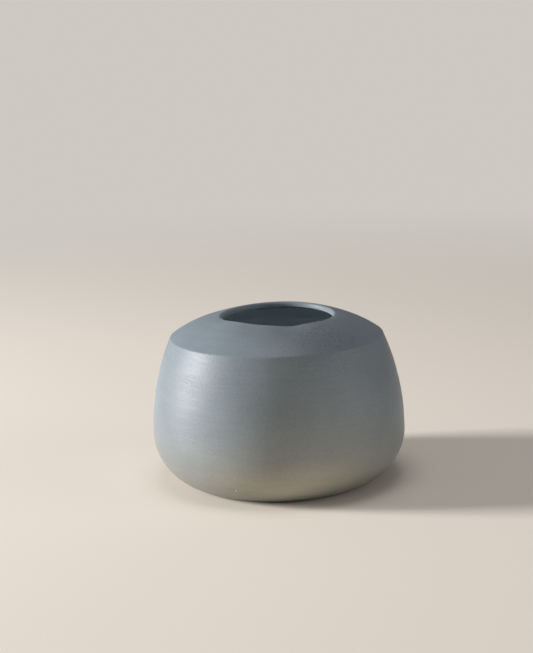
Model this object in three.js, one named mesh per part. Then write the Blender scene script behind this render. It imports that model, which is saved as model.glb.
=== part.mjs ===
// A low round stoneware vase with an angular shoulder and a wide, thin-lipped mouth.
// It is built as a potter builds it: a thrown bowl, a thrown cap luted on at the shoulder,
// a foot ring luted under the floor, and a coat of glaze that lines the inside.
// Millimetres, +Z up. The origin is the middle of the foot, on the ground.

import * as THREE from 'three';

// Body outline
const BELLY_RADIUS = 100;        // the widest part of the pot
const BELLY_HEIGHT = 39;         // height of the widest part above the ground
const WALL_RISE = 76;            // from the belly up to the shoulder edge
const WALL_SET_IN = 16;          // how far the shoulder edge lies inside the belly
const CAP_RISE = 16;             // from the shoulder edge up to the top of the lip
const CAP_ARC_RADIUS = 94;       // the gentle crown of the cap
const SHOULDER_ROUNDING = 2.4;   // softened outer edge of the shoulder
const MOUTH_RADIUS = 43.4;       // clear opening inside the lip

// Underside
const FOOT_EDGE_SET_IN = 25;     // where the belly curve ends, inside the belly
const FOOT_EDGE_HEIGHT = 0.9;    // shadow gap between that edge and the ground
const BELLY_CURVE_REACH = 43.7;  // half width of the ellipse that the belly follows below
const RING_INSET = 3;            // from the foot edge in to the foot ring
const RING_WIDTH = 8;
const RING_HEIGHT = 3.6;         // the ring and the shallow recess inside it
const RING_ROUNDING = 1.2;       // softened edges that meet the ground
const RECESS_CROWN = 0.8;        // the turned hollow in the middle of the underside

// Clay and glaze
const WALL_THICKNESS = 5;
const CAP_THICKNESS = 4.5;
const FLOOR_THICKNESS = 6;
const FLOOR_FLAT_RADIUS = 60;    // flat part of the floor inside
const INNER_ROUNDING = 7;        // smoothed corner inside, under the shoulder
const GLAZE_THICKNESS = 0.6;
const GLAZE_STOP = 7;            // the glaze ends this far inside the lip

// The lute joint between the bowl and the cap
const SEAM_DROP = 3.5;           // the seam lies this far below the shoulder edge
const TONGUE_DEPTH = 4;          // the cap's inner half reaches down inside the bowl's rim
const JOINT_CLEARANCE = 0.3;     // between fitted faces that don't bear
const COAT_CLEARANCE = 0.3;      // between the clay and its coat of glaze

// The rim was finished by hand: it leans and is warped a little, and fingers have touched it
// up and down. Directions are in degrees, from the front (-Y) towards +X; lifts are at the lip.
const RIM_LEAN = { turn: 180, lift: 0.5 };
const RIM_WARP = { turn: -18, lift: 0.7 };
const RIM_TOUCHES = [
  { turn: -43, lift: 1.1, spread: 20 },
  { turn: 12, lift: -1.2, spread: 14 },
  { turn: 36, lift: 0.4, spread: 16 },
];
const MOUTH_OFFSET = 1;          // the hand-cut mouth sits this far off the middle, towards +X
const RIM_FADE = 1.3;            // how fast that unevenness dies away from the lip

// Fineness of the faceted surfaces
const TURN_STEPS = 64;
const LONG_ARC_STEPS = 7;
const SHORT_ARC_STEPS = 4;
const LIP_STEPS = 6;
const EDGE_STEPS = 3;

// Places worked out from the sizes above
const SHOULDER_RADIUS = BELLY_RADIUS - WALL_SET_IN;
const SHOULDER_HEIGHT = BELLY_HEIGHT + WALL_RISE;
const VASE_HEIGHT = SHOULDER_HEIGHT + CAP_RISE;
const FOOT_EDGE_RADIUS = BELLY_RADIUS - FOOT_EDGE_SET_IN;
const RING_OUTER_RADIUS = FOOT_EDGE_RADIUS - RING_INSET;
const FLOOR_TOP = RING_HEIGHT + FLOOR_THICKNESS;
const SEAM_HEIGHT = SHOULDER_HEIGHT - SEAM_DROP;
const LIP_RADIUS = CAP_THICKNESS / 2;
const LIP_CENTRE = new THREE.Vector2(MOUTH_RADIUS + LIP_RADIUS, VASE_HEIGHT - LIP_RADIUS);

const point = (radius, height) => new THREE.Vector2(radius, height);
const radians = (degrees) => THREE.MathUtils.degToRad(degrees);

// A circle in the outline's plane: centre and radius.
const circle = (centre, radius) => ({ centre, radius });
const inset = (ring, depth) => circle(ring.centre, ring.radius - depth);

// The two points where circles meet. The first of them lies further out and up.
function crossings(first, second) {
  const span = second.centre.clone().sub(first.centre);
  const distance = span.length();
  const along = (first.radius ** 2 - second.radius ** 2 + distance ** 2) / (2 * distance);
  const across = Math.sqrt(first.radius ** 2 - along ** 2);
  const unit = span.divideScalar(distance);
  const middle = first.centre.clone().addScaledVector(unit, along);
  const side = point(-unit.y, unit.x);
  const pair = [
    middle.clone().addScaledVector(side, across),
    middle.clone().addScaledVector(side, -across),
  ];
  return pair.sort((one, other) => other.x + other.y - one.x - one.y);
}

// The direction from a circle's centre to a point, and the point in a direction.
const bearing = (ring, place) => Math.atan2(place.y - ring.centre.y, place.x - ring.centre.x);
const onCircle = (ring, angle) => point(
  ring.centre.x + ring.radius * Math.cos(angle),
  ring.centre.y + ring.radius * Math.sin(angle),
);

// Points along an arc from one direction to another, both ends included.
function arc(ring, from, to, steps) {
  const points = [];
  for (let i = 0; i <= steps; i += 1) {
    points.push(onCircle(ring, from + (to - from) * i / steps));
  }
  return points;
}

// The wall is an arc that stands upright at the belly and passes through the shoulder edge.
const WALL_ARC_RADIUS = (WALL_RISE ** 2 + WALL_SET_IN ** 2) / (2 * WALL_SET_IN);
const wallArc = circle(point(BELLY_RADIUS - WALL_ARC_RADIUS, BELLY_HEIGHT), WALL_ARC_RADIUS);

// The cap's crown passes through the shoulder edge and runs smoothly into the lip.
const [, crownCentre] = crossings(
  circle(point(SHOULDER_RADIUS, SHOULDER_HEIGHT), CAP_ARC_RADIUS),
  circle(LIP_CENTRE, CAP_ARC_RADIUS - LIP_RADIUS),
);
const capArc = circle(crownCentre, CAP_ARC_RADIUS);
const lipBearing = bearing(capArc, LIP_CENTRE);

// A rounding that touches two arcs from inside: its circle and where it leaves each of them.
function rounding(lower, upper, radius) {
  const [centre] = crossings(inset(lower, radius), inset(upper, radius));
  return {
    ring: circle(centre, radius),
    start: bearing(lower, centre),
    end: bearing(upper, centre),
  };
}

const outerShoulder = rounding(wallArc, capArc, SHOULDER_ROUNDING);
const innerShoulder = rounding(
  inset(wallArc, WALL_THICKNESS), inset(capArc, CAP_THICKNESS), INNER_ROUNDING);

// Radius of the wall, or of a face set in from it, at a height above the belly.
function wallRadiusAt(height, depth = 0) {
  const ring = inset(wallArc, depth);
  return ring.centre.x + Math.sqrt(ring.radius ** 2 - (height - ring.centre.y) ** 2);
}

// The step in the bowl's rim: the outer half bears the cap, the inner half makes room for it.
const RIM_STEP_RADIUS = (wallRadiusAt(SEAM_HEIGHT)
  + wallRadiusAt(SEAM_HEIGHT - TONGUE_DEPTH, WALL_THICKNESS)) / 2;

// Part of the wall arc between two heights, set in by a depth.
function wallPoints(fromHeight, toHeight, depth, steps) {
  const ring = inset(wallArc, depth);
  const from = Math.asin((fromHeight - ring.centre.y) / ring.radius);
  const to = Math.asin((toHeight - ring.centre.y) / ring.radius);
  return arc(ring, from, to, steps);
}

// The belly curve below the widest part: an ellipse from the foot edge up to the belly.
function bellyPoints(steps) {
  const centreRadius = BELLY_RADIUS - BELLY_CURVE_REACH;
  const start = -Math.acos((FOOT_EDGE_RADIUS - centreRadius) / BELLY_CURVE_REACH);
  const halfHeight = (BELLY_HEIGHT - FOOT_EDGE_HEIGHT) / Math.sin(-start);
  const ellipse = new THREE.EllipseCurve(
    centreRadius, BELLY_HEIGHT, BELLY_CURVE_REACH, halfHeight, start, 0);
  return ellipse.getPoints(steps);
}

// The inside of the bowl below the belly: a quarter ellipse from the flat floor to the wall.
function basinPoints(depth, steps) {
  const reach = BELLY_RADIUS - WALL_THICKNESS - depth - FLOOR_FLAT_RADIUS;
  const drop = BELLY_HEIGHT - FLOOR_TOP - depth;
  const ellipse = new THREE.EllipseCurve(
    FLOOR_FLAT_RADIUS, BELLY_HEIGHT, reach, drop, -Math.PI / 2, 0);
  return ellipse.getPoints(steps);
}

// The turned hollow under the floor: highest in the middle, level with the ring at its edge.
function recessPoints(radius, steps) {
  const points = [];
  for (let i = 0; i <= steps; i += 1) {
    const share = i / steps;
    points.push(point(radius * share, RING_HEIGHT + RECESS_CROWN * (1 - share ** 2)));
  }
  return points;
}

// Height of the hand-finished rim above a true one, in the direction of a point.
function rimLift(x, y) {
  const turn = Math.atan2(x, -y);
  const lean = RIM_LEAN.lift * Math.cos(turn - radians(RIM_LEAN.turn));
  const warp = RIM_WARP.lift * Math.cos(2 * (turn - radians(RIM_WARP.turn)));
  let lift = lean + warp;
  for (const touch of RIM_TOUCHES) {
    const away = turn - radians(touch.turn);
    const wrapped = Math.atan2(Math.sin(away), Math.cos(away));
    lift += touch.lift * Math.exp(-((wrapped / radians(touch.spread)) ** 2));
  }
  return lift;
}

// Moves a cap surface near the mouth as the hand left it. The move fades out towards the
// shoulder, and what lies outside the crown of the cap stays true.
function finishRim(geometry) {
  const place = geometry.getAttribute('position');
  const trueRadius = onCircle(innerShoulder.ring, innerShoulder.end).x;
  for (let i = 0; i < place.count; i += 1) {
    const x = place.getX(i);
    const y = place.getY(i);
    const z = place.getZ(i);
    const nearness = (trueRadius - Math.hypot(x, y)) / (trueRadius - MOUTH_RADIUS);
    if (z > SEAM_HEIGHT && nearness > 0) {
      const share = Math.min(1, nearness) ** RIM_FADE;
      place.setXYZ(i, x + MOUTH_OFFSET * share, y, z + rimLift(x, y) * share);
    }
  }
  geometry.computeVertexNormals();
}

// Turns an outline about the upright axis. The outline starts and ends on the axis, or closes.
function turned(outline) {
  const geometry = new THREE.LatheGeometry(outline, TURN_STEPS);
  geometry.rotateX(Math.PI / 2);
  return geometry;
}

// A ring of bare clay with softened ground edges. Its top is the flat face that is luted on.
function footRing() {
  const inner = RING_OUTER_RADIUS - RING_WIDTH;
  const outerEdge = circle(point(RING_OUTER_RADIUS - RING_ROUNDING, RING_ROUNDING), RING_ROUNDING);
  const innerEdge = circle(point(inner + RING_ROUNDING, RING_ROUNDING), RING_ROUNDING);
  const outline = [
    ...arc(innerEdge, -Math.PI, -Math.PI / 2, EDGE_STEPS),
    ...arc(outerEdge, -Math.PI / 2, 0, EDGE_STEPS),
    point(RING_OUTER_RADIUS, RING_HEIGHT),
    point(inner, RING_HEIGHT),
  ];
  outline.push(outline[0].clone());
  return turned(outline);
}

// Floor, belly and wall, up to the stepped rim that takes the cap.
function lowerBowl() {
  const rebate = RING_OUTER_RADIUS + JOINT_CLEARANCE;
  const recess = RING_OUTER_RADIUS - RING_WIDTH - JOINT_CLEARANCE;
  const outline = [
    ...recessPoints(recess, EDGE_STEPS),
    point(rebate, RING_HEIGHT),
    point(rebate, FOOT_EDGE_HEIGHT),
    ...bellyPoints(LONG_ARC_STEPS),
    ...wallPoints(BELLY_HEIGHT, SEAM_HEIGHT, 0, LONG_ARC_STEPS).slice(1),
    point(RIM_STEP_RADIUS, SEAM_HEIGHT),
    point(RIM_STEP_RADIUS, SEAM_HEIGHT - TONGUE_DEPTH),
    ...wallPoints(SEAM_HEIGHT - TONGUE_DEPTH, BELLY_HEIGHT, WALL_THICKNESS, SHORT_ARC_STEPS),
    ...basinPoints(0, LONG_ARC_STEPS).reverse().slice(1),
    point(0, FLOOR_TOP),
  ];
  return turned(outline);
}

// The crown from its stepped edge to the rounded lip, hollow beneath.
function shoulderCap() {
  const tongueRadius = RIM_STEP_RADIUS - JOINT_CLEARANCE;
  const tongueFoot = SEAM_HEIGHT - TONGUE_DEPTH + JOINT_CLEARANCE;
  const innerTop = onCircle(innerShoulder.ring, innerShoulder.start).y;
  const outerTop = onCircle(outerShoulder.ring, outerShoulder.start).y;
  const innerCrown = inset(capArc, CAP_THICKNESS);
  const lip = circle(LIP_CENTRE, LIP_RADIUS);
  const outline = [
    point(tongueRadius, tongueFoot),
    point(tongueRadius, SEAM_HEIGHT),
    ...wallPoints(SEAM_HEIGHT, outerTop, 0, 1),
    ...arc(outerShoulder.ring, outerShoulder.start, outerShoulder.end, SHORT_ARC_STEPS).slice(1),
    ...arc(capArc, outerShoulder.end, lipBearing, LONG_ARC_STEPS).slice(1),
    ...arc(lip, lipBearing, lipBearing + Math.PI, LIP_STEPS).slice(1),
    ...arc(innerCrown, lipBearing, innerShoulder.end, SHORT_ARC_STEPS).slice(1),
    ...arc(innerShoulder.ring, innerShoulder.end, innerShoulder.start, SHORT_ARC_STEPS).slice(1),
    ...wallPoints(innerTop, tongueFoot, WALL_THICKNESS, 1).slice(1),
  ];
  outline.push(outline[0].clone());
  const geometry = turned(outline);
  finishRim(geometry);
  return geometry;
}

// One face of the glaze: from the middle of the floor, up the wall and in under the crown.
function coatFace(depth) {
  const wall = inset(wallArc, WALL_THICKNESS + depth);
  const crown = inset(capArc, CAP_THICKNESS + depth);
  const corner = rounding(wall, crown, INNER_ROUNDING - depth);
  const wallTop = onCircle(corner.ring, corner.start).y;
  const stop = lipBearing - GLAZE_STOP / crown.radius;
  return [
    point(0, FLOOR_TOP + depth),
    ...basinPoints(depth, LONG_ARC_STEPS),
    ...wallPoints(BELLY_HEIGHT, wallTop, WALL_THICKNESS + depth, SHORT_ARC_STEPS).slice(1),
    ...arc(corner.ring, corner.start, corner.end, SHORT_ARC_STEPS).slice(1),
    ...arc(crown, corner.end, stop, SHORT_ARC_STEPS).slice(1),
  ];
}

function innerGlaze() {
  const outline = [
    ...coatFace(COAT_CLEARANCE),
    ...coatFace(COAT_CLEARANCE + GLAZE_THICKNESS).reverse(),
  ];
  const geometry = turned(outline);
  finishRim(geometry);
  return geometry;
}

// Finishes
const clay = new THREE.MeshStandardMaterial({ color: 0x757f87, roughness: 0.48, metalness: 0 });
const capClay = new THREE.MeshStandardMaterial({ color: 0x78828a, roughness: 0.48, metalness: 0 });
const bareClay = new THREE.MeshStandardMaterial({ color: 0x9a8f80, roughness: 0.9, metalness: 0 });
const glaze = new THREE.MeshStandardMaterial({ color: 0xbcc8cd, roughness: 0.45, metalness: 0 });

function piece(name, geometry, material) {
  const mesh = new THREE.Mesh(geometry, material);
  mesh.name = name;
  return mesh;
}

const vase = new THREE.Group();
vase.name = 'vase';
vase.add(
  piece('foot_ring', footRing(), bareClay),
  piece('lower_bowl', lowerBowl(), clay),
  piece('shoulder_cap', shoulderCap(), capClay),
  piece('inner_glaze', innerGlaze(), glaze),
);

export default vase;
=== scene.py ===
# A low round stoneware vase with an angular shoulder and a wide, thin-lipped mouth.
# It is put together as a potter does it: foot ring, thrown bowl, thrown cap, glaze lining.
# Shapes are worked out in millimetres and become metres when a mesh is made.

import bmesh
import bpy
import numpy as np
from mathutils import Matrix, Vector


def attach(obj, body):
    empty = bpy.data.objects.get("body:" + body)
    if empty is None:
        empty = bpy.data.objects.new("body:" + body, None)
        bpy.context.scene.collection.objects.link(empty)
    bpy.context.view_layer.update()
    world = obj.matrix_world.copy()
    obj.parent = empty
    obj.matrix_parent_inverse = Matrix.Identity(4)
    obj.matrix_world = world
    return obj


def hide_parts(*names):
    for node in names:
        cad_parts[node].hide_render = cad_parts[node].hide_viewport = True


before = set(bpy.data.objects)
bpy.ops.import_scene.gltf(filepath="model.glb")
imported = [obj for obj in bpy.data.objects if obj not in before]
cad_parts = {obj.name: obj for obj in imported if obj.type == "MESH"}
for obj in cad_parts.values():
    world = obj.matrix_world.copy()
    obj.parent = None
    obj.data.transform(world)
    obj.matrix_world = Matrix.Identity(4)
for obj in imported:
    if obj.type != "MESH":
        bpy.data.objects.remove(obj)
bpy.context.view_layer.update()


# The camera stands 1.2 m in front of the pot and a little above it, looks down by some
# 12 degrees and leans slightly, as the photograph does. Places are in metres.
CAMERA_PLACE = (-0.0077, -1.1658, 0.3634)
CAMERA_TILT = 11.75
CAMERA_LEAN = -1.68
LENS_LENGTH = 83.3
SENSOR_WIDTH = 36
SIGHT_END = 50

camera_data = bpy.data.cameras.new("photo_camera")
camera_data.sensor_width = SENSOR_WIDTH
camera_data.lens = LENS_LENGTH
camera_data.clip_end = SIGHT_END
camera = bpy.data.objects.new("photo_camera", camera_data)
look_down = Matrix.Rotation(np.radians(90 - CAMERA_TILT), 4, "X")
lean = Matrix.Rotation(np.radians(CAMERA_LEAN), 4, "Z")
camera.matrix_world = Matrix.Translation(CAMERA_PLACE) @ look_down @ lean
bpy.context.collection.objects.link(camera)
bpy.context.scene.camera = camera


# The stage is a plain pale floor that fades into an even, pale background. It throws a
# slightly warmer light back at the pot than the camera sees on it.
FLOOR_REACH = 3.0
FLOOR_COLOUR = (225, 216, 205)
FLOOR_BOUNCE = (1.0, 0.90, 0.76, 1)
BACKGROUND_COLOUR = (205, 201, 194)
FADE_START = 0.4
FADE_END = 1.7


def linear(red, green, blue):
    """Linear colour of an sRGB one given in steps of 0 to 255, by the sRGB transfer curve."""
    share = np.array((red, green, blue)) / 255
    curved = np.where(share <= 0.04045, share / 12.92, ((share + 0.055) / 1.055) ** 2.4)
    return (*curved.tolist(), 1.0)


def node(tree, kind, inputs, **settings):
    """Adds a shader node. Each input goes by its name, or by its number where names repeat,
    and is a value or the output socket that feeds it."""
    made = tree.nodes.new(kind)
    for name, value in settings.items():
        setattr(made, name, value)
    for name, value in inputs.items():
        if isinstance(value, bpy.types.NodeSocket):
            tree.links.new(value, made.inputs[name])
        else:
            made.inputs[name].default_value = value
    return made


def empty_material(name):
    """A new material and its node tree, with nothing in the tree."""
    material = bpy.data.materials.new(name)
    material.use_nodes = True
    material.node_tree.nodes.clear()
    return material, material.node_tree


floor_material, tree = empty_material("pale_floor")
place = node(tree, "ShaderNodeTexCoord", {})
distance = node(tree, "ShaderNodeVectorMath", {0: place.outputs["Object"]}, operation="LENGTH")
fade = node(tree, "ShaderNodeMapRange", {
    "Value": distance.outputs["Value"], "From Min": FADE_START, "From Max": FADE_END,
}, interpolation_type="SMOOTHSTEP")
ray = node(tree, "ShaderNodeLightPath", {})
colour = node(tree, "ShaderNodeMix", {
    0: ray.outputs["Is Camera Ray"], 6: FLOOR_BOUNCE, 7: linear(*FLOOR_COLOUR),
}, data_type="RGBA")
matt = node(tree, "ShaderNodeBsdfDiffuse", {"Color": colour.outputs[2]})
gone = node(tree, "ShaderNodeBsdfTransparent", {})
faded = node(tree, "ShaderNodeMixShader", {
    0: fade.outputs["Result"], 1: matt.outputs["BSDF"], 2: gone.outputs["BSDF"],
})
node(tree, "ShaderNodeOutputMaterial", {"Surface": faded.outputs["Shader"]})

corners = np.array([(-1, -1, 0), (1, -1, 0), (1, 1, 0), (-1, 1, 0)]) * FLOOR_REACH
floor_mesh = bpy.data.meshes.new("floor")
floor_mesh.from_pydata(corners.tolist(), [], [(0, 1, 2, 3)])
floor_mesh.materials.append(floor_material)
floor = bpy.data.objects.new("floor", floor_mesh)
bpy.context.collection.objects.link(floor)


# The light is soft and plain: a tall lamp low on the left, weak ones on the right and above,
# and an even pale world. A dim warm one lies on the floor close in front of the pot and
# warms its belly from below. Places and sizes are in metres, powers in watts.
POT_MIDDLE = Vector((0, 0, 0.06))
BOUNCE_PLACE = Vector((-0.02, -0.18, 0.002))
BOUNCE_SIZE = (0.4, 0.18)
BOUNCE_COLOUR = (1.0, 0.71, 0.31)
GLOW_COLOUR = (228, 228, 230)
GLOW_STRENGTH = 0.25


def around(turn, height, reach):
    """The point at a turn from the front and a height, in degrees, and a reach in metres."""
    turn, height = np.radians((turn, height))
    level = np.cos(height)
    away = Vector((np.sin(turn) * level, -np.cos(turn) * level, np.sin(height)))
    return POT_MIDDLE + away * reach


def soft_lamp(name, place, aim, size, power, colour=(1, 1, 1)):
    """A rectangular lamp that faces a point. The camera doesn't see it."""
    data = bpy.data.lights.new(name, "AREA")
    data.shape = "RECTANGLE"
    data.size, data.size_y = size
    data.energy = power
    data.color = colour
    lamp = bpy.data.objects.new(name, data)
    lamp.location = place
    lamp.rotation_euler = (place - aim).to_track_quat("Z", "Y").to_euler()
    lamp.visible_camera = False
    bpy.context.collection.objects.link(lamp)


key_place = around(turn=-92, height=14, reach=3.2)
fill_place = around(turn=75, height=14, reach=2.4)
top_place = around(turn=0, height=86, reach=1.5)
over_bounce = BOUNCE_PLACE + Vector((0, 0, 1))
soft_lamp("key", key_place, POT_MIDDLE, size=(0.6, 1.2), power=208)
soft_lamp("fill", fill_place, POT_MIDDLE, size=(1.2, 1.2), power=11)
soft_lamp("top", top_place, POT_MIDDLE, size=(0.8, 0.8), power=5.6)
soft_lamp("bounce", BOUNCE_PLACE, over_bounce, BOUNCE_SIZE, power=0.114, colour=BOUNCE_COLOUR)

world = bpy.data.worlds.new("studio")
bpy.context.scene.world = world
world.use_nodes = True
tree = world.node_tree
tree.nodes.clear()
ray = node(tree, "ShaderNodeLightPath", {})
glow = node(tree, "ShaderNodeBackground", {
    "Color": linear(*GLOW_COLOUR), "Strength": GLOW_STRENGTH,
})
shown = node(tree, "ShaderNodeBackground", {
    "Color": linear(*BACKGROUND_COLOUR), "Strength": 1,
})
sky = node(tree, "ShaderNodeMixShader", {
    0: ray.outputs["Is Camera Ray"],
    1: glow.outputs["Background"],
    2: shown.outputs["Background"],
})
node(tree, "ShaderNodeOutputWorld", {"Surface": sky.outputs["Shader"]})
bpy.context.scene.view_settings.view_transform = "Standard"


# The foot ring is what the pot stands on: a rolled ring of the same clay, luted under the
# floor, left bare of glaze and ground flat after firing, so it is rough, warmer and paler.
RING_OUTER_RADIUS = 72
RING_WIDTH = 8
RING_HEIGHT = 3.6
RING_ROUNDING = 1.2
RING_EDGE_STEPS = 8
RING_FACE_STEPS = 6

BARE_TONES = ((0.30, (128, 120, 108)), (0.55, (146, 138, 125)), (0.75, (158, 151, 140)))
GROG_COLOUR = (92, 85, 76)
SCUFF_COLOUR = (176, 170, 160)
BARE_ROUGHNESS = 0.88
BARE_SCUFF_DEPTH = 0.1
BARE_GRAIN_DEPTH = 0.25

# Turning: steps round the axis, the angle in degrees past which an edge is sharp, and how near
# the axis a point counts as on it, in a grid's millimetres and in a mesh's metres.
MM_IN_METRE = 1000
TURN_STEPS = 384
SHARP_ANGLE = 35
AXIS_REACH = 1e-9
POLE_REACH = 1e-7
POLE_MERGE = 1e-6


def arc(centre, radius, start, end, steps):
    """Points centre + radius * (cos t, sin t) of an arc, and its outward normals."""
    t = np.linspace(start, end, steps + 1)
    normals = np.column_stack((np.cos(t), np.sin(t)))
    return np.array(centre) + radius * normals, normals


def straight(start, end, steps):
    """Evenly spaced points from start to end."""
    share = np.linspace(0, 1, steps + 1)[:, None]
    return np.array(start) * (1 - share) + np.array(end) * share


def spun(outline):
    """Grids x = r sin t, y = -r cos t, z = h of an outline of (r, h) turned about the axis."""
    turn = np.linspace(0, 2 * np.pi, TURN_STEPS, endpoint=False)
    radius, height = outline[:, :1], outline[:, 1:]
    return radius * np.sin(turn), -radius * np.cos(turn), height + 0 * turn


def turned_piece(name, x, y, z, material):
    """Joins the grids of a spun outline into one closed surface. An outline that starts on
    the axis also ends there, and its points on the axis become one."""
    ring = np.arange(x.size).reshape(x.shape)
    above = np.roll(ring, -1, axis=0)
    faces = np.stack((ring, np.roll(ring, -1, axis=1), np.roll(above, -1, axis=1), above), -1)
    if np.hypot(x[0], y[0]).max() < AXIS_REACH:
        faces = faces[:-1]
    mesh = bpy.data.meshes.new(name)
    points = np.stack((x, y, z), axis=-1).reshape(-1, 3) / MM_IN_METRE
    mesh.from_pydata(points.tolist(), [], faces.reshape(-1, 4).tolist())
    shell = bmesh.new()
    shell.from_mesh(mesh)
    on_axis = [vert for vert in shell.verts if vert.co.xy.length < POLE_REACH]
    bmesh.ops.remove_doubles(shell, verts=on_axis, dist=POLE_MERGE)
    shell.to_mesh(mesh)
    shell.free()
    mesh.shade_smooth()
    mesh.set_sharp_from_angle(angle=np.radians(SHARP_ANGLE))
    mesh.materials.append(material)
    piece = bpy.data.objects.new(name, mesh)
    bpy.context.collection.objects.link(piece)
    return piece


def noise(tree, where, scale, detail=3.0, roughness=0.5):
    """Output of a noise texture whose grains are about 1 / scale of a metre across."""
    made = node(tree, "ShaderNodeTexNoise", {
        "Vector": where, "Scale": scale, "Detail": detail, "Roughness": roughness,
    })
    return made.outputs["Fac"]


def ramp(tree, share, tones):
    """Output of a colour ramp with a stop for each (position, sRGB colour)."""
    made = node(tree, "ShaderNodeValToRGB", {"Fac": share})
    stops = [(position, linear(*colour)) for position, colour in tones]
    made.color_ramp.elements[0].position, made.color_ramp.elements[0].color = stops[0]
    made.color_ramp.elements[1].position, made.color_ramp.elements[1].color = stops[-1]
    for position, colour in stops[1:-1]:
        made.color_ramp.elements.new(position).color = colour
    return made.outputs["Color"]


def mixed(tree, share, first, second, how="MIX"):
    """Output of two colours mixed by a share."""
    made = node(tree, "ShaderNodeMix", {0: share, 6: first, 7: second},
                data_type="RGBA", blend_type=how)
    return made.outputs[2]


def ranged(tree, value, span, to):
    """Output of a value carried smoothly from one range, its span, to another."""
    made = node(tree, "ShaderNodeMapRange", {
        "Value": value, "From Min": span[0], "From Max": span[1], "To Min": to[0], "To Max": to[1],
    }, interpolation_type="SMOOTHSTEP")
    return made.outputs["Result"]


def bumped(tree, height, depth, normal=None):
    """Output of a bump as deep as depth, in millimetres, on top of another normal."""
    inputs = {"Height": height, "Distance": depth / MM_IN_METRE, "Strength": 1.0}
    if normal is not None:
        inputs["Normal"] = normal
    return node(tree, "ShaderNodeBump", inputs).outputs["Normal"]


bare_clay, tree = empty_material("bare_clay")
place = node(tree, "ShaderNodeTexCoord", {}).outputs["Object"]
body = ramp(tree, noise(tree, place, scale=60), BARE_TONES)
grog_grains = noise(tree, place, scale=900, detail=1)
grog = ranged(tree, grog_grains, span=(0.60, 0.68), to=(0, 0.75))
rubs = noise(tree, place, scale=240, detail=5, roughness=0.7)
scuffs = ranged(tree, rubs, span=(0.55, 0.75), to=(0, 0.5))
grain = noise(tree, place, scale=1500, detail=4, roughness=0.65)
coat = mixed(tree, grog, body, linear(*GROG_COLOUR))
coat = mixed(tree, scuffs, coat, linear(*SCUFF_COLOUR))
normal = bumped(tree, scuffs, BARE_SCUFF_DEPTH)
surface = node(tree, "ShaderNodeBsdfPrincipled", {
    "Base Color": coat,
    "Roughness": BARE_ROUGHNESS,
    "Normal": bumped(tree, grain, BARE_GRAIN_DEPTH, normal),
})
node(tree, "ShaderNodeOutputMaterial", {"Surface": surface.outputs["BSDF"]})

ring_inner_radius = RING_OUTER_RADIUS - RING_WIDTH
inner_edge, _ = arc((ring_inner_radius + RING_ROUNDING, RING_ROUNDING), RING_ROUNDING,
                    -np.pi, -np.pi / 2, RING_EDGE_STEPS)
outer_edge, _ = arc((RING_OUTER_RADIUS - RING_ROUNDING, RING_ROUNDING), RING_ROUNDING,
                    -np.pi / 2, 0, RING_EDGE_STEPS)
ring_outline = np.vstack((
    inner_edge,
    straight(inner_edge[-1], outer_edge[0], RING_FACE_STEPS)[1:-1],
    outer_edge,
    (RING_OUTER_RADIUS, RING_HEIGHT),
    (ring_inner_radius, RING_HEIGHT),
))
standing_ring = turned_piece("standing_ring", *spun(ring_outline), bare_clay)
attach(standing_ring, "root")
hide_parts("foot_ring")


# The bowl is thrown on the wheel: floor, full belly and a wall drawn in to the shoulder, 5 mm
# thick. Its rim has a step for the cap, and its underside is turned hollow inside the ring.
# Outside it is smoke-blue clay, sponged and sanded to a satin skin.
BELLY_RADIUS = 100
BELLY_HEIGHT = 39
BELLY_CURVE_REACH = 43.7
FOOT_EDGE_RADIUS = 75
FOOT_EDGE_HEIGHT = 0.9
WALL_RISE = 76
WALL_SET_IN = 16
WALL_THICKNESS = 5
FLOOR_TOP = 9.6
FLOOR_FLAT_RADIUS = 60
RECESS_CROWN = 0.8
SEAM_HEIGHT = 111.5
TONGUE_DEPTH = 4
JOINT_CLEARANCE = 0.3
BELLY_STEPS = 48
WALL_STEPS = 60
INNER_WALL_STEPS = 12
BASIN_STEPS = 14
RECESS_STEPS = 60

# What the hands and the wheel left uneven, in millimetres.
THROWING_PITCH = 8.5
THROWING_DEPTH = 0.018
SLOW_WAVE = 34
SLOW_WAVE_START = 1.1
SLOW_DEPTH = 0.05
LOBES = 3
LOBE_TWIST = 40
LOBE_DEPTH = 0.05
TURNING_PITCH = 4.2
TURNING_DEPTH = 0.09
TURNING_FADE = 8

# The clay's colours: its cloudy tone, and a painted warm reflection of the floor on the lower
# belly.
CLOUD_TONES = ((0.30, (110, 120, 127)), (0.50, (117, 127, 134)), (0.70, (123, 133, 139)))
PAINTED_BOUNCE_COLOUR = (150, 137, 113)
PAINTED_BOUNCE_BAND = (1, 70)
PAINTED_BOUNCE_SHARE = 0.34
SPECULAR_LEVEL = 0.27
SPECULAR_TINT = (1.0, 0.92, 1.0, 1)

# The sponge's strokes round the wall, and the grain of the clay.
STROKE_SPREAD = 30
STROKE_CLOSENESS = 800
STROKE_TONES = ((0.30, (243, 244, 245)), (0.70, (255, 255, 255)))
STROKE_SHARE = 0.8
STROKE_DEPTH = 0.06
GRAIN_TONES = ((0.32, (206, 208, 210)), (0.50, (240, 240, 240)), (0.70, (255, 255, 255)))
GRAIN_SHARE = 0.35
GRAIN_DEPTH = 0.13

# Sanding arcs, each patch at a turn in degrees and a height.
SANDED_PLACES = ((-46, 95), (-60, 62), (38, 84), (112, 70), (165, 92), (-128, 58))
SANDED_RADIUS = 94
SWIRL_RADIUS = 16
SWIRL_ELBOW = (0.4, 0.9)
SWIRL_REACH = 17
SWIRL_PITCH = 1.1
SWIRL_BREAKS = 50
SWIRL_DEPTH = 0.45
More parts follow.
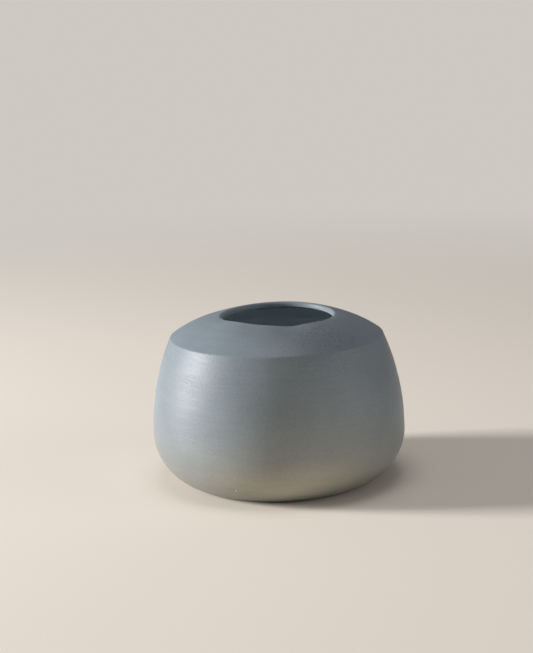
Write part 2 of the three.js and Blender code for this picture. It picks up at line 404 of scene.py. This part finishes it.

# A grainy patch on the cap whose dark specks are painted shade of light grazing the grains, a few
# pits, and a pinhole near the foot.
SAND_AND_SHADE_PLACE = (33, -57, 123)
SAND_AND_SHADE_REACH = 57
SAND_AND_SHADE_LEAST = 0.02
GRAIN_SHADE_COLOUR = (70, 78, 84)
SAND_DEPTH = 0.5
PIT_SPACING = 9
PIT_RADIUS = 0.5
PIT_SHARE = 0.25
PIT_COLOUR = (70, 72, 72)
PIT_STRENGTH = 0.5
PIT_DEPTH = 0.3
PINHOLE = (-34.1, -84.5, 13.6)
PINHOLE_RADIUS = 1.1
PINHOLE_COLOUR = (222, 219, 212)
PINHOLE_STRENGTH = 0.9
HALO_WIDENING = 2.2
HALO_COLOUR = (88, 84, 74)
HALO_STRENGTH = 0.35

# A paler tone painted on the underside of the lip and the cap's inside: painted light that lifts
# the shade there.
PAINTED_UNDERSIDE_LIGHT_COLOUR = (170, 182, 188)

wall_arc_radius = (WALL_RISE**2 + WALL_SET_IN**2) / (2 * WALL_SET_IN)
wall_centre = np.array((BELLY_RADIUS - wall_arc_radius, BELLY_HEIGHT))


def ellipse(centre, reach, rise, start, end, steps):
    """Points centre + (reach * cos t, rise * sin t), normals along (rise cos t, reach sin t)."""
    t = np.linspace(start, end, steps + 1)
    points = np.array(centre) + np.column_stack((reach * np.cos(t), rise * np.sin(t)))
    normals = np.column_stack((rise * np.cos(t), reach * np.sin(t)))
    return points, normals / np.linalg.norm(normals, axis=1)[:, None]


def wall(low, high, depth, steps):
    """The wall arc between two heights, set in by a depth, and its normals."""
    radius = wall_arc_radius - depth
    start, end = np.arcsin((np.array((low, high)) - wall_centre[1]) / radius)
    return arc(wall_centre, radius, start, end, steps)


def pressed_in(x, y, z, normals):
    """Moves points in along their outline's normals by what the hands left uneven: a spiral
    of throwing ridges, slow waves up the wall and broad lobes round it, 0.25 mm at most."""
    turn = np.arctan2(x, -y)
    run = z - np.hypot(x, y) / 2
    spiral = 1 + np.sin(2 * np.pi * run / THROWING_PITCH + turn)
    slow = 1 + np.sin(2 * np.pi * run / SLOW_WAVE + SLOW_WAVE_START + np.sin(turn))
    lobes = 1 + np.cos(LOBES * turn + run / LOBE_TWIST)
    depth = THROWING_DEPTH * spiral + SLOW_DEPTH * slow + LOBE_DEPTH * lobes
    inward = depth * np.linalg.norm(normals, axis=1)[:, None]
    side = normals[:, :1] * inward
    return x - side * np.sin(turn), y + side * np.cos(turn), z - normals[:, 1:] * inward


def maths(tree, operation, *values):
    """Output of a sum done by a node; each value is a number or an output socket."""
    return node(tree, "ShaderNodeMath", dict(enumerate(values)), operation=operation).outputs[0]


def sum_of(tree, values):
    """Output of the sum of some outputs."""
    total = values[0]
    for value in values[1:]:
        total = maths(tree, "ADD", total, value)
    return total


def distance_from(tree, place, centre):
    """Output of the distance from a point given in millimetres, in metres."""
    centre = [float(part) / MM_IN_METRE for part in centre]
    away = node(tree, "ShaderNodeVectorMath", {0: place, 1: centre}, operation="DISTANCE")
    return away.outputs["Value"]


def spot(tree, place, centre, radius):
    """Output that falls smoothly from 1 at a point to 0 at a radius from it."""
    away = distance_from(tree, place, centre)
    return ranged(tree, away, span=(0, radius / MM_IN_METRE), to=(1, 0))


def swirl(tree, place, turn, height):
    """Fine arcs left by a sanding pad, in a patch at a turn and height: a noise that depends
    on the distance from a point below and to the left of the patch."""
    turn = np.radians(turn)
    out = np.array((np.sin(turn), -np.cos(turn), 0))
    along = np.array((np.cos(turn), np.sin(turn), 0))
    up = np.array((0, 0, 1))
    middle = out * SANDED_RADIUS + up * height
    aside, below = SWIRL_ELBOW
    elbow = middle - along * SWIRL_RADIUS * aside - up * (SWIRL_RADIUS * below)
    away = distance_from(tree, place, elbow)
    level = node(tree, "ShaderNodeSeparateXYZ", {"Vector": place}).outputs["Z"]
    lines = node(tree, "ShaderNodeCombineXYZ", {
        "X": maths(tree, "MULTIPLY", away, MM_IN_METRE / SWIRL_PITCH),
        "Y": maths(tree, "MULTIPLY", level, SWIRL_BREAKS),
    })
    arcs = noise(tree, lines.outputs["Vector"], scale=1.0, detail=2)
    return maths(tree, "MULTIPLY", arcs, spot(tree, place, middle, SWIRL_REACH))


satin_clay, tree = empty_material("satin_clay")
place = node(tree, "ShaderNodeTexCoord", {}).outputs["Object"]
apart = node(tree, "ShaderNodeSeparateXYZ", {"Vector": place}).outputs

# The strokes run round the axis: the noise is drawn out level, and lies close along the
# outline, which is run through by the height less half the radius.
level = node(tree, "ShaderNodeCombineXYZ", {"X": apart["X"], "Y": apart["Y"]})
radius = node(tree, "ShaderNodeVectorMath", {0: level.outputs["Vector"]}, operation="LENGTH")
run = maths(tree, "MULTIPLY_ADD", radius.outputs["Value"], -0.5, apart["Z"])
round_strokes = node(tree, "ShaderNodeCombineXYZ", {
    "X": maths(tree, "MULTIPLY", apart["X"], STROKE_SPREAD),
    "Y": maths(tree, "MULTIPLY", apart["Y"], STROKE_SPREAD),
    "Z": maths(tree, "MULTIPLY", run, STROKE_CLOSENESS),
})
strokes = noise(tree, round_strokes.outputs["Vector"], scale=1, detail=4, roughness=0.6)

# The clay's colour: clouds, grain and strokes, and a painted warm reflection of the floor that
# fades up from the foot.
clouds = noise(tree, place, scale=14, detail=4, roughness=0.55)
tone = ramp(tree, clouds, CLOUD_TONES)
foot_band = [height / MM_IN_METRE for height in PAINTED_BOUNCE_BAND]
painted_bounce = ranged(tree, apart["Z"], span=foot_band, to=(PAINTED_BOUNCE_SHARE, 0))
coat = mixed(tree, painted_bounce, tone, linear(*PAINTED_BOUNCE_COLOUR))
grain = noise(tree, place, scale=750, detail=3, roughness=0.6)
coat = mixed(tree, GRAIN_SHARE, coat, ramp(tree, grain, GRAIN_TONES), how="MULTIPLY")
coat = mixed(tree, STROKE_SHARE, coat, ramp(tree, strokes, STROKE_TONES), how="MULTIPLY")

# Pits lie in a share of the cells of a Voronoi texture. The pinhole is pale in a dark halo.
cells = node(tree, "ShaderNodeTexVoronoi", {"Vector": place, "Scale": MM_IN_METRE / PIT_SPACING})
lot = node(tree, "ShaderNodeSeparateColor", {"Color": cells.outputs["Color"]}).outputs["Red"]
picked = maths(tree, "GREATER_THAN", lot, 1 - PIT_SHARE)
hollow = ranged(tree, cells.outputs["Distance"], span=(0, PIT_RADIUS / PIT_SPACING), to=(1, 0))
pits = maths(tree, "MULTIPLY", picked, hollow)
hole = spot(tree, place, PINHOLE, PINHOLE_RADIUS)
halo = spot(tree, place, PINHOLE, HALO_WIDENING * PINHOLE_RADIUS)
for mark, strength, mark_colour in (
    (pits, PIT_STRENGTH, PIT_COLOUR),
    (halo, HALO_STRENGTH, HALO_COLOUR),
    (hole, PINHOLE_STRENGTH, PINHOLE_COLOUR),
):
    coat = mixed(tree, maths(tree, "MULTIPLY", mark, strength), coat, linear(*mark_colour))

# The cap's attribute says where the painted light under the lip lies. The bowl has none, so nought
# is read there.
painted_underside_light = node(tree, "ShaderNodeAttribute", {}, attribute_name="painted_underside_light").outputs["Fac"]
coat = mixed(tree, painted_underside_light, coat, linear(*PAINTED_UNDERSIDE_LIGHT_COLOUR))

# In a patch with an uneven, soft edge the grain shows as a slight roughness, and as dark specks
# that are painted shade of light grazing the grains.
sand_and_shade = noise(tree, place, scale=620, detail=2, roughness=0.6)
edge = ranged(tree, noise(tree, place, scale=30, detail=2), span=(0.25, 0.75), to=(0.5, 1))
sand_and_shade_patch = maths(tree, "MULTIPLY", spot(tree, place, SAND_AND_SHADE_PLACE, SAND_AND_SHADE_REACH), edge)
sand_and_shade_patch = ranged(tree, sand_and_shade_patch, span=(0, 1), to=(SAND_AND_SHADE_LEAST, 1))
painted_grain_shade = ranged(tree, sand_and_shade, span=(0.52, 0.64), to=(0, 0.75))
coat = mixed(tree, maths(tree, "MULTIPLY", painted_grain_shade, sand_and_shade_patch), coat, linear(*GRAIN_SHADE_COLOUR))

arcs = sum_of(tree, [swirl(tree, place, turn, height) for turn, height in SANDED_PLACES])
normal = bumped(tree, strokes, STROKE_DEPTH)
normal = bumped(tree, arcs, SWIRL_DEPTH, normal)
normal = bumped(tree, grain, GRAIN_DEPTH, normal)
normal = bumped(tree, maths(tree, "MULTIPLY", sand_and_shade, sand_and_shade_patch), SAND_DEPTH, normal)
normal = bumped(tree, sum_of(tree, [pits, halo]), -PIT_DEPTH, normal)
surface = node(tree, "ShaderNodeBsdfPrincipled", {
    "Base Color": coat,
    "Roughness": ranged(tree, strokes, span=(0.3, 0.7), to=(0.40, 0.50)),
    "Specular IOR Level": SPECULAR_LEVEL,
    "Specular Tint": SPECULAR_TINT,
    "Normal": normal,
})
node(tree, "ShaderNodeOutputMaterial", {"Surface": surface.outputs["BSDF"]})

belly_middle = BELLY_RADIUS - BELLY_CURVE_REACH
belly_start = -np.arccos((FOOT_EDGE_RADIUS - BELLY_RADIUS + BELLY_CURVE_REACH) / BELLY_CURVE_REACH)
belly_rise = (BELLY_HEIGHT - FOOT_EDGE_HEIGHT) / np.sin(-belly_start)
belly, belly_normals = ellipse((belly_middle, BELLY_HEIGHT), BELLY_CURVE_REACH, belly_rise,
                               belly_start, 0, BELLY_STEPS)
outer_wall, outer_wall_normals = wall(BELLY_HEIGHT, SEAM_HEIGHT, 0, WALL_STEPS)
inner_wall, _ = wall(SEAM_HEIGHT - TONGUE_DEPTH, BELLY_HEIGHT, WALL_THICKNESS, INNER_WALL_STEPS)
basin, _ = ellipse((FLOOR_FLAT_RADIUS, BELLY_HEIGHT),
                   BELLY_RADIUS - WALL_THICKNESS - FLOOR_FLAT_RADIUS,
                   BELLY_HEIGHT - FLOOR_TOP, 0, -np.pi / 2, BASIN_STEPS)
step_radius = (outer_wall[-1, 0] + inner_wall[0, 0]) / 2

recess_radius = ring_inner_radius - JOINT_CLEARANCE
recess_share = np.linspace(0, 1, RECESS_STEPS + 1)
ridges = TURNING_DEPTH * (1 - np.cos(2 * np.pi * recess_share * recess_radius / TURNING_PITCH))
ridges *= 1 - recess_share**TURNING_FADE
recess = np.column_stack((
    recess_radius * recess_share,
    RING_HEIGHT + RECESS_CROWN * (1 - recess_share**2) + ridges,
))
ring_seat = np.array((
    (RING_OUTER_RADIUS + JOINT_CLEARANCE, RING_HEIGHT),
    (RING_OUTER_RADIUS + JOINT_CLEARANCE, FOOT_EDGE_HEIGHT),
))
bowl_outline = np.vstack((
    recess,
    ring_seat,
    belly,
    outer_wall[1:],
    (step_radius, SEAM_HEIGHT),
    (step_radius, SEAM_HEIGHT - TONGUE_DEPTH),
    inner_wall,
    basin[1:],
    (0, FLOOR_TOP),
))
belly_at = len(recess) + len(ring_seat)
wall_at = belly_at + len(belly)
bowl_normals = np.zeros_like(bowl_outline)
bowl_normals[belly_at:wall_at] = belly_normals
bowl_normals[wall_at:wall_at + len(outer_wall) - 1] = outer_wall_normals[1:]
bowl = turned_piece("bowl_body", *pressed_in(*spun(bowl_outline), bowl_normals), satin_clay)
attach(bowl, "root")
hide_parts("lower_bowl")


# The cap is thrown apart and luted into the stepped rim just below the shoulder edge. It runs
# in a gentle crown to the mouth, whose rolled lip was smoothed by fingers: it leans, is warped
# a little, dips where a thumb pressed it, and sits slightly off the middle.
CAP_RISE = 16
CAP_ARC_RADIUS = 94
CAP_THICKNESS = 4.5
SHOULDER_ROUNDING = 2.4
INNER_ROUNDING = 7
MOUTH_RADIUS = 43.4
SHOULDER_SIDE_STEPS = 5
CORNER_STEPS = 8
CROWN_STEPS = 44
LIP_STEPS = 20
INNER_CROWN_STEPS = 30
INNER_SIDE_STEPS = 4

# The hand-finished rim: its lean and warp, each by a turn in degrees and a height, and the
# touches of the fingers, each by a turn, a height and a spread in degrees.
MOUTH_OFFSET = 1
RIM_LEAN = (180, 0.5)
RIM_WARP = (-18, 0.7)
RIM_TOUCHES = ((-43, 1.1, 20), (12, -1.2, 14), (36, 0.4, 16))
RIM_FADE = 1.3
CALM_LIP_REACH = 12

# The painted light starts where the lip faces the middle of the mouth, and is full on its
# underside.
# Both are in degrees of the lip's section, in which 90 is straight up.
UNDERSIDE_LIGHT_START = 174
UNDERSIDE_LIGHT_FADE = 52


def centre_between(first, first_radius, second, second_radius, outer):
    """Where two circles meet: on their common chord, at the side further out and up or not."""
    span = second - first
    distance = np.hypot(*span)
    along = (first_radius**2 - second_radius**2 + distance**2) / (2 * distance)
    across = np.sqrt(first_radius**2 - along**2)
    unit = span / distance
    sides = [first + unit * along + sign * across * np.array((-unit[1], unit[0]))
             for sign in (1, -1)]
    return max(sides, key=sum) if outer else min(sides, key=sum)


def bearing(centre, point):
    """Direction from a centre to a point."""
    return np.arctan2(point[1] - centre[1], point[0] - centre[0])


def corner(depth, cap_depth, rounding):
    """The rounding between the wall and the crown, each set in by its depth: its centre and
    where it leaves the wall and the crown."""
    centre = centre_between(wall_centre, wall_arc_radius - depth - rounding,
                            crown_centre, CAP_ARC_RADIUS - cap_depth - rounding, outer=True)
    return centre, bearing(wall_centre, centre), bearing(crown_centre, centre)


def finished_rim(x, y, z):
    """Lifts points near the mouth by cos and cos 2t waves and bell-shaped touches of the turn
    t, and moves them sideways. Both grow from nothing at the corner to full at the lip."""
    turn = np.arctan2(x, -y)
    lift = RIM_LEAN[1] * np.cos(turn - np.radians(RIM_LEAN[0]))
    lift += RIM_WARP[1] * np.cos(2 * (turn - np.radians(RIM_WARP[0])))
    for at, height, spread in RIM_TOUCHES:
        away = turn - np.radians(at)
        away = np.arctan2(np.sin(away), np.cos(away))
        lift += height * np.exp(-((away / np.radians(spread)) ** 2))
    nearness = (true_radius - np.hypot(x, y)) / (true_radius - MOUTH_RADIUS)
    share = np.where(z > SEAM_HEIGHT, np.clip(nearness, 0, 1) ** RIM_FADE, 0)
    return x + MOUTH_OFFSET * share, y, z + lift * share


lip_radius = CAP_THICKNESS / 2
lip_height = BELLY_HEIGHT + WALL_RISE + CAP_RISE - lip_radius
lip_centre = np.array((MOUTH_RADIUS + lip_radius, lip_height))
shoulder_edge = np.array((BELLY_RADIUS - WALL_SET_IN, BELLY_HEIGHT + WALL_RISE))
crown_centre = centre_between(shoulder_edge, CAP_ARC_RADIUS,
                              lip_centre, CAP_ARC_RADIUS - lip_radius, outer=False)
lip_start = bearing(crown_centre, lip_centre)
lip_end = lip_start + np.pi
outer_centre, outer_start, outer_end = corner(0, 0, SHOULDER_ROUNDING)
inner_centre, inner_start, inner_end = corner(WALL_THICKNESS, CAP_THICKNESS, INNER_ROUNDING)
true_radius = inner_centre[0] + INNER_ROUNDING * np.cos(inner_end)

tongue_radius = step_radius - JOINT_CLEARANCE
tongue_foot = SEAM_HEIGHT - TONGUE_DEPTH + JOINT_CLEARANCE
tongue = np.array(((tongue_radius, tongue_foot), (tongue_radius, SEAM_HEIGHT)))
outer_top = outer_centre[1] + SHOULDER_ROUNDING * np.sin(outer_start)
inner_top = inner_centre[1] + INNER_ROUNDING * np.sin(inner_start)
faces = (
    wall(SEAM_HEIGHT, outer_top, 0, SHOULDER_SIDE_STEPS),
    arc(outer_centre, SHOULDER_ROUNDING, outer_start, outer_end, CORNER_STEPS),
    arc(crown_centre, CAP_ARC_RADIUS, outer_end, lip_start, CROWN_STEPS),
    arc(lip_centre, lip_radius, lip_start, lip_end, LIP_STEPS),
)
outside = np.vstack([face[0][1:] if i else face[0] for i, face in enumerate(faces)])
outside_normals = np.vstack([face[1][1:] if i else face[1] for i, face in enumerate(faces)])
inner_crown, _ = arc(crown_centre, CAP_ARC_RADIUS - CAP_THICKNESS, lip_start, inner_end,
                     INNER_CROWN_STEPS)
inner_corner, _ = arc(inner_centre, INNER_ROUNDING, inner_end, inner_start, CORNER_STEPS)
inner_side, _ = wall(inner_top, tongue_foot, WALL_THICKNESS, INNER_SIDE_STEPS)
cap_outline = np.vstack((tongue, outside, inner_crown[1:], inner_corner[1:], inner_side[1:]))

underside_at = len(tongue) + len(outside)
calm_lip = np.clip((outside[:, 0] - lip_centre[0]) / CALM_LIP_REACH, 0, 1)
cap_normals = np.zeros_like(cap_outline)
cap_normals[len(tongue):underside_at] = outside_normals * calm_lip[:, None]
cap = turned_piece("shoulder_and_lip",
                   *finished_rim(*pressed_in(*spun(cap_outline), cap_normals)), satin_clay)

# Where the cap is painted paler to lift the shade under the lip and on its inside.
lip_turn = np.linspace(lip_start, lip_end, LIP_STEPS + 1)
lip_painted_light = np.clip((lip_turn - np.radians(UNDERSIDE_LIGHT_START)) / np.radians(UNDERSIDE_LIGHT_FADE), 0, 1)
painted_light_share = np.zeros(len(cap_outline))
painted_light_share[underside_at - len(lip_turn):underside_at] = lip_painted_light
painted_light_share[underside_at:] = 1
painted_underside_light = cap.data.attributes.new("painted_underside_light", "FLOAT", "POINT")
painted_underside_light.data.foreach_set("value", np.repeat(painted_light_share, TURN_STEPS))
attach(cap, "root")
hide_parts("shoulder_cap")


# The glaze is poured in, swirled up under the crown and poured out, and makes the porous clay
# hold water. It is 0.6 mm thick, thins towards its end under the crown, and is paler and
# smoother than the outside.
GLAZE_THICKNESS = 0.6
GLAZE_THINNING = 0.4
GLAZE_STOP = 7
COAT_CLEARANCE = 0.3
COAT_FLOOR_STEPS = 6
COAT_BASIN_STEPS = 12
COAT_SIDE_STEPS = 20
COAT_CORNER_STEPS = 3
COAT_CROWN_STEPS = 8
SHOWN_FINENESS = 3
BEAD_STEPS = 6

FINGER_PITCH = 11
FINGER_DEPTH = 0.05
FINGERS_FROM = 20
FINGERS_GROW = 15
FINGERS_FADE = 10

GLAZE_TONES = ((0.3, (189, 201, 206)), (0.5, (194, 205, 210)), (0.7, (199, 209, 213)))
FLECK_COLOUR = (150, 160, 163)
RIPPLE_DEPTH = 0.08

pale_glaze, tree = empty_material("pale_glaze")
place = node(tree, "ShaderNodeTexCoord", {}).outputs["Object"]
glaze_tone = ramp(tree, noise(tree, place, scale=20, detail=3), GLAZE_TONES)
fleck_grains = noise(tree, place, scale=700, detail=1)
flecks = ranged(tree, fleck_grains, span=(0.66, 0.74), to=(0, 0.5))
ripple = noise(tree, place, scale=60, detail=2)
sheen = noise(tree, place, scale=45)
surface = node(tree, "ShaderNodeBsdfPrincipled", {
    "Base Color": mixed(tree, flecks, glaze_tone, linear(*FLECK_COLOUR)),
    "Roughness": ranged(tree, sheen, span=(0.35, 0.65), to=(0.44, 0.52)),
    "Normal": bumped(tree, ripple, RIPPLE_DEPTH),
})
node(tree, "ShaderNodeOutputMaterial", {"Surface": surface.outputs["BSDF"]})


def coat_face(depth, fine, thinning=0):
    """One face of the lining, from the middle of the floor up to its end under the crown,
    where it comes nearer to the clay by the square of the way times the thinning."""
    rounding = INNER_ROUNDING - depth
    centre, start, end = corner(WALL_THICKNESS + depth, CAP_THICKNESS + depth, rounding)
    crown_radius = CAP_ARC_RADIUS - CAP_THICKNESS - depth
    basin, _ = ellipse((FLOOR_FLAT_RADIUS, BELLY_HEIGHT),
                       BELLY_RADIUS - WALL_THICKNESS - depth - FLOOR_FLAT_RADIUS,
                       BELLY_HEIGHT - FLOOR_TOP - depth, -np.pi / 2, 0, COAT_BASIN_STEPS * fine)
    side, _ = wall(BELLY_HEIGHT, centre[1] + rounding * np.sin(start), WALL_THICKNESS + depth,
                   COAT_SIDE_STEPS * fine)
    turn_in, _ = arc(centre, rounding, start, end, COAT_CORNER_STEPS * fine)
    crown, up = arc(crown_centre, crown_radius, end, lip_start - GLAZE_STOP / crown_radius,
                    COAT_CROWN_STEPS * fine)
    crown += up * thinning * np.linspace(0, 1, len(crown))[:, None] ** 2
    floor = straight((0, FLOOR_TOP + depth), basin[0], COAT_FLOOR_STEPS * fine)
    return np.vstack((floor, basin[1:], side[1:], turn_in[1:], crown[1:]))


def finger_rings(x, y, z):
    """Throwing rings that show through the glaze: a spiral wave that moves the lining's face
    out from the axis by 0.1 mm at most, and only on the wall."""
    turn = np.arctan2(x, -y)
    wave = 1 + np.sin(2 * np.pi * z / FINGER_PITCH - turn)
    grown = np.clip((z - FINGERS_FROM) / FINGERS_GROW, 0, 1)
    on_wall = grown * np.clip((SEAM_HEIGHT - z) / FINGERS_FADE, 0, 1)
    depth = FINGER_DEPTH * wave * on_wall
    return x + depth * np.sin(turn), y - depth * np.cos(turn), z


back = coat_face(COAT_CLEARANCE, fine=1)
front = coat_face(COAT_CLEARANCE + GLAZE_THICKNESS, SHOWN_FINENESS, GLAZE_THINNING)
bead_start = bearing(front[-1], back[-1])
bead, _ = arc((back[-1] + front[-1]) / 2, (GLAZE_THICKNESS - GLAZE_THINNING) / 2,
              bead_start, bead_start + np.pi, BEAD_STEPS)
lining_outline = np.vstack((back, bead[1:-1], front[::-1]))
shown = np.arange(len(lining_outline)) >= len(back) + len(bead) - 2
x, y, z = spun(lining_outline)
ringed = finger_rings(x, y, z)
x, y, z = (np.where(shown[:, None], moved, kept) for moved, kept in zip(ringed, (x, y, z)))
lining = turned_piece("glaze_lining", *finished_rim(x, y, z), pale_glaze)
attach(lining, "root")
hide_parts("inner_glaze")
